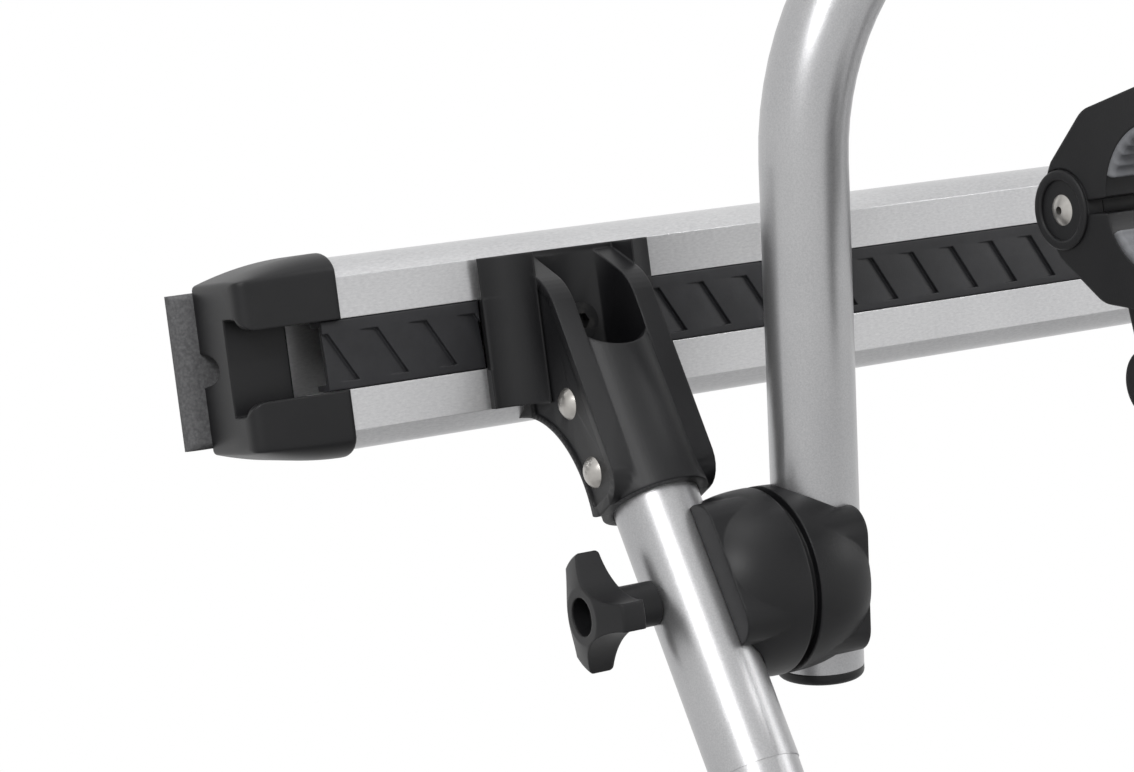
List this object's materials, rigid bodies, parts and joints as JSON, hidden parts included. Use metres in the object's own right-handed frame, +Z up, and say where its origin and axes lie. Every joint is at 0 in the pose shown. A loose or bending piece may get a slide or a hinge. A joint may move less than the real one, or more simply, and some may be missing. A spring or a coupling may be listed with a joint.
{
  "type": "motorhome bike rack",
  "caption": "Rear wall bike rack for a motorhome: slotted wall beams, bent side tubes, a tilting hoop with two clamp-on bike holders and a fold-up platform with strapped wheel rails",
  "frame": {"origin": "centre of the four-bolt wall pattern, on the wall plane, midway between the two beams", "axes": "+X along the beams, +Y out of the rack's back into the wall, +Z up; the bikes stand on the -Y side"},
  "size_m": [1.305, 0.6333, 0.9954],
  "materials": {
    "anodised_beam": "satin silver anodised, drawn",
    "anodised_tube": "satin silver anodised, fine speckle",
    "moulded_black": "fine-grained moulded glass-filled nylon",
    "strip_rubber": "matt ribbed rubber",
    "seal_foam": "grey speckled sponge rubber",
    "pad_rubber": "soft grey rubber",
    "bright_steel": "zinc plated",
    "black_steel": "blackened"
  },
  "bodies": {
    "wall_frame": {"upper_beam": "anodised_beam", "lower_beam": "anodised_beam", "cover_strips": "strip_rubber", "upper_beam_caps": "moulded_black", "lower_beam_caps": "moulded_black", "seal_pads": "seal_foam", "socket_bracket_left": "moulded_black", "socket_bracket_right": "moulded_black", "lower_bracket_left": "moulded_black", "lower_bracket_right": "moulded_black", "bracket_rivets": "bright_steel", "bracket_bolts": "black_steel", "slot_nuts": "bright_steel", "side_tube_left": "anodised_tube", "side_tube_right": "anodised_tube", "side_tube_plugs": "moulded_black", "upper_outer_shells": "moulded_black", "lower_outer_shells": "moulded_black"},
    "hoop": {"hoop_tube": "anodised_tube", "hoop_tube_plugs": "moulded_black", "upper_inner_shells": "moulded_black", "upper_joint_bolts": "bright_steel"},
    "platform": {"platform_tube": "anodised_tube", "platform_tube_plugs": "moulded_black", "lower_inner_shells": "moulded_black", "lower_joint_bolts": "bright_steel", "wheel_rail_inner": "anodised_beam", "wheel_rail_outer": "anodised_beam", "rail_end_caps": "moulded_black", "rail_saddles": "moulded_black", "wheel_straps": "strip_rubber", "buckle_bases": "moulded_black"},
    "joint_knob_upper_left": {"joint_knob_upper_left": "moulded_black"},
    "joint_knob_lower_left": {"joint_knob_lower_left": "moulded_black"},
    "joint_knob_upper_right": {"joint_knob_upper_right": "moulded_black"},
    "joint_knob_lower_right": {"joint_knob_lower_right": "moulded_black"},
    "buckle_lever_inner_left": {"buckle_lever_inner_left": "moulded_black"},
    "buckle_lever_inner_right": {"buckle_lever_inner_right": "moulded_black"},
    "buckle_lever_outer_left": {"buckle_lever_outer_left": "moulded_black"},
    "buckle_lever_outer_right": {"buckle_lever_outer_right": "moulded_black"},
    "short_holder": {"short_clamp": "moulded_black", "short_arm_tube": "anodised_tube", "short_head": "moulded_black", "short_lower_pad": "pad_rubber", "short_jaw_pin": "bright_steel"},
    "short_clamp_knob": {"short_clamp_knob": "moulded_black"},
    "short_upper_jaw": {"short_jaw": "moulded_black", "short_upper_pad": "pad_rubber"},
    "short_jaw_lever": {"short_jaw_lever": "moulded_black"},
    "long_holder": {"long_clamp": "moulded_black", "long_arm_tube": "anodised_tube", "long_head": "moulded_black", "long_lower_pad": "pad_rubber", "long_jaw_pin": "bright_steel"},
    "long_clamp_knob": {"long_clamp_knob": "moulded_black"},
    "long_upper_jaw": {"long_jaw": "moulded_black", "long_upper_pad": "pad_rubber"},
    "long_jaw_lever": {"long_jaw_lever": "moulded_black"}
  },
  "joints": [
    {"name": "hoop_tilt", "type": "hinge", "parent": "wall_frame", "child": "hoop", "pos_m": [0, -0.103, 0.216], "axis": [1, 0, 0], "range_deg": [-4, 75]},
    {"name": "platform_fold", "type": "hinge", "parent": "wall_frame", "child": "platform", "pos_m": [0, -0.2683, -0.47], "axis": [-1, 0, 0], "range_deg": [0, 88]},
    {"name": "upper_left_knob_turn", "type": "hinge", "parent": "hoop", "child": "joint_knob_upper_left", "pos_m": [-0.462, -0.103, 0.216], "axis": [-1, 0, 0], "continuous": true},
    {"name": "lower_left_knob_turn", "type": "hinge", "parent": "platform", "child": "joint_knob_lower_left", "pos_m": [-0.462, -0.2683, -0.47], "axis": [-1, 0, 0], "continuous": true},
    {"name": "upper_right_knob_turn", "type": "hinge", "parent": "hoop", "child": "joint_knob_upper_right", "pos_m": [0.462, -0.103, 0.216], "axis": [1, 0, 0], "continuous": true},
    {"name": "lower_right_knob_turn", "type": "hinge", "parent": "platform", "child": "joint_knob_lower_right", "pos_m": [0.462, -0.2683, -0.47], "axis": [1, 0, 0], "continuous": true},
    {"name": "inner_left_buckle", "type": "hinge", "parent": "platform", "child": "buckle_lever_inner_left", "pos_m": [-0.52, -0.4008, -0.435], "axis": [1, 0, 0], "range_deg": [0, 60]},
    {"name": "inner_right_buckle", "type": "hinge", "parent": "platform", "child": "buckle_lever_inner_right", "pos_m": [0.52, -0.4008, -0.435], "axis": [1, 0, 0], "range_deg": [0, 60]},
    {"name": "outer_left_buckle", "type": "hinge", "parent": "platform", "child": "buckle_lever_outer_left", "pos_m": [-0.52, -0.5908, -0.435], "axis": [1, 0, 0], "range_deg": [0, 60]},
    {"name": "outer_right_buckle", "type": "hinge", "parent": "platform", "child": "buckle_lever_outer_right", "pos_m": [0.52, -0.5908, -0.435], "axis": [1, 0, 0], "range_deg": [0, 60]},
    {"name": "short_arm_swing", "type": "hinge", "parent": "hoop", "child": "short_holder", "pos_m": [-0.262, -0.14137, 0.45291], "axis": [1, 0, 0], "range_deg": [-40, 5]},
    {"name": "short_clamp_knob_turn", "type": "hinge", "parent": "short_holder", "child": "short_clamp_knob", "pos_m": [-0.262, -0.12938, 0.48258], "axis": [0, 0.9272, -0.3746], "continuous": true},
    {"name": "short_jaw_open", "type": "hinge", "parent": "short_holder", "child": "short_upper_jaw", "pos_m": [-0.345, -0.19194, 0.32774], "axis": [-1, 0, 0], "range_deg": [0, 70]},
    {"name": "short_lever_turn", "type": "hinge", "parent": "short_holder", "child": "short_jaw_lever", "pos_m": [-0.345, -0.22194, 0.27074], "axis": [1, 0, 0], "range_deg": [0, 80]},
    {"name": "long_arm_swing", "type": "hinge", "parent": "hoop", "child": "long_holder", "pos_m": [0.2, -0.14137, 0.45291], "axis": [1, 0, 0], "range_deg": [-40, 30]},
    {"name": "long_clamp_knob_turn", "type": "hinge", "parent": "long_holder", "child": "long_clamp_knob", "pos_m": [0.2, -0.1113, 0.46386], "axis": [0, 0.342, -0.9397], "continuous": true},
    {"name": "long_jaw_open", "type": "hinge", "parent": "long_holder", "child": "long_upper_jaw", "pos_m": [0.283, -0.37911, 0.36638], "axis": [-1, 0, 0], "range_deg": [0, 70]},
    {"name": "long_lever_turn", "type": "hinge", "parent": "long_holder", "child": "long_jaw_lever", "pos_m": [0.283, -0.40911, 0.30938], "axis": [1, 0, 0], "range_deg": [0, 80]}
  ]
}
